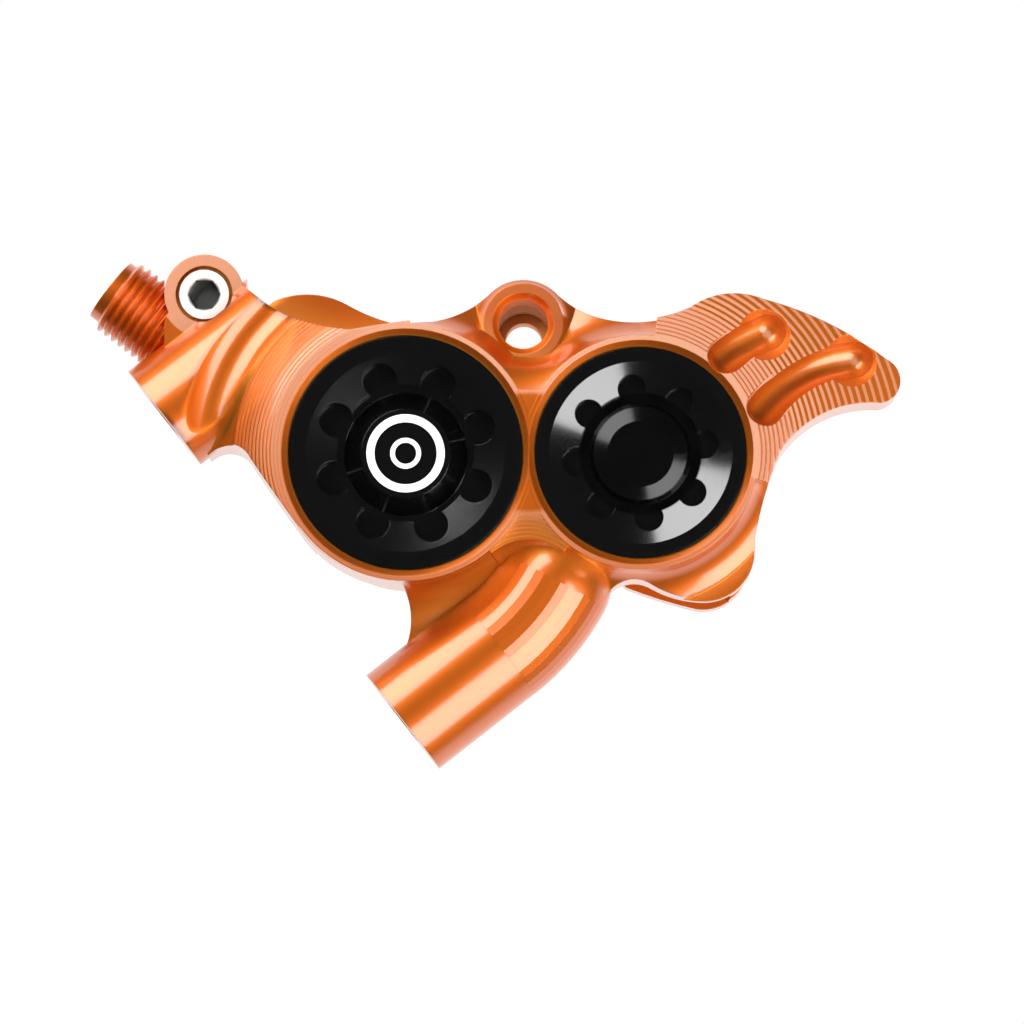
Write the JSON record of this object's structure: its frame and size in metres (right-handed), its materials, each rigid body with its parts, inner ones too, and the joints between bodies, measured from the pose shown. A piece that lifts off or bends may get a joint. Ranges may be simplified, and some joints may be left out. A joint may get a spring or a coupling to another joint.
{
  "type": "bicycle disc brake caliper",
  "caption": "Machined flat-mount disc brake caliper with facing pistons under threaded bore caps, sprung pads, hose stub and bleed screw.",
  "frame": {"origin": "midway between the two threaded mounting holes, on the mounting face", "axes": "+Z is the mounting face's normal into the caliper, +X runs along the line of the holes towards the wheel axle, +Y runs along the wheel axle from the outer side to the inner side"},
  "size_m": [0.0557, 0.03, 0.0533],
  "materials": {
    "body_orange": "orange anodised, satin, fine turned lines",
    "cap_black": "black anodised, gloss, turned",
    "seal_rubber": "matt",
    "piston_steel": "ground",
    "insert_phenolic": "matt moulded",
    "pad_plate_steel": "zinc plated, stamped",
    "lining_compound": "granular, matt",
    "spring_steel": "rolled",
    "screw_steel": "bright, turned"
  },
  "bodies": {
    "caliper": {"caliper_body": "body_orange", "bore_cap_large": "cap_black", "bore_cap_small": "cap_black", "cap_seal_large": "seal_rubber", "cap_seal_small": "seal_rubber", "seal_outer_large": "seal_rubber", "seal_outer_small": "seal_rubber", "seal_inner_large": "seal_rubber", "seal_inner_small": "seal_rubber", "pad_spring": "spring_steel"},
    "pad_outer": {"pad_plate_outer": "pad_plate_steel", "pad_lining_outer": "lining_compound"},
    "pad_inner": {"pad_plate_inner": "pad_plate_steel", "pad_lining_inner": "lining_compound"},
    "bleed_screw": {"bleed_screw": "screw_steel", "bleed_seal": "seal_rubber"},
    "piston_outer_large": {"piston_outer_large": "piston_steel", "insert_outer_large": "insert_phenolic"},
    "piston_outer_small": {"piston_outer_small": "piston_steel", "insert_outer_small": "insert_phenolic"},
    "piston_inner_large": {"piston_inner_large": "piston_steel", "insert_inner_large": "insert_phenolic"},
    "piston_inner_small": {"piston_inner_small": "piston_steel", "insert_inner_small": "insert_phenolic"}
  },
  "joints": [
    {"name": "pad_outer_slide", "type": "slide", "parent": "caliper", "child": "pad_outer", "axis": [0, 1, 0], "range_m": [0, 0.0011], "deforming": ["pad_spring"]},
    {"name": "pad_inner_slide", "type": "slide", "parent": "caliper", "child": "pad_inner", "axis": [0, -1, 0], "range_m": [0, 0.0011]},
    {"name": "piston_outer_large_slide", "type": "slide", "parent": "caliper", "child": "piston_outer_large", "axis": [0, 1, 0], "range_m": [0, 0.0011]},
    {"name": "piston_outer_small_slide", "type": "slide", "parent": "caliper", "child": "piston_outer_small", "axis": [0, 1, 0], "range_m": [0, 0.0011]},
    {"name": "piston_inner_large_slide", "type": "slide", "parent": "caliper", "child": "piston_inner_large", "axis": [0, -1, 0], "range_m": [0, 0.0011]},
    {"name": "piston_inner_small_slide", "type": "slide", "parent": "caliper", "child": "piston_inner_small", "axis": [0, -1, 0], "range_m": [0, 0.0011]},
    {"name": "bleed_screw_turn", "type": "hinge", "parent": "caliper", "child": "bleed_screw", "pos_m": [-0.02324, 0, 0.00939], "axis": [0, -1, 0], "range_deg": [0, 90]}
  ],
  "couplings": [
    {"joint": "pad_inner_slide", "follows": "pad_outer_slide", "ratio": 1},
    {"joint": "piston_outer_large_slide", "follows": "pad_outer_slide", "ratio": 1},
    {"joint": "piston_outer_small_slide", "follows": "pad_outer_slide", "ratio": 1},
    {"joint": "piston_inner_large_slide", "follows": "pad_outer_slide", "ratio": 1},
    {"joint": "piston_inner_small_slide", "follows": "pad_outer_slide", "ratio": 1}
  ]
}
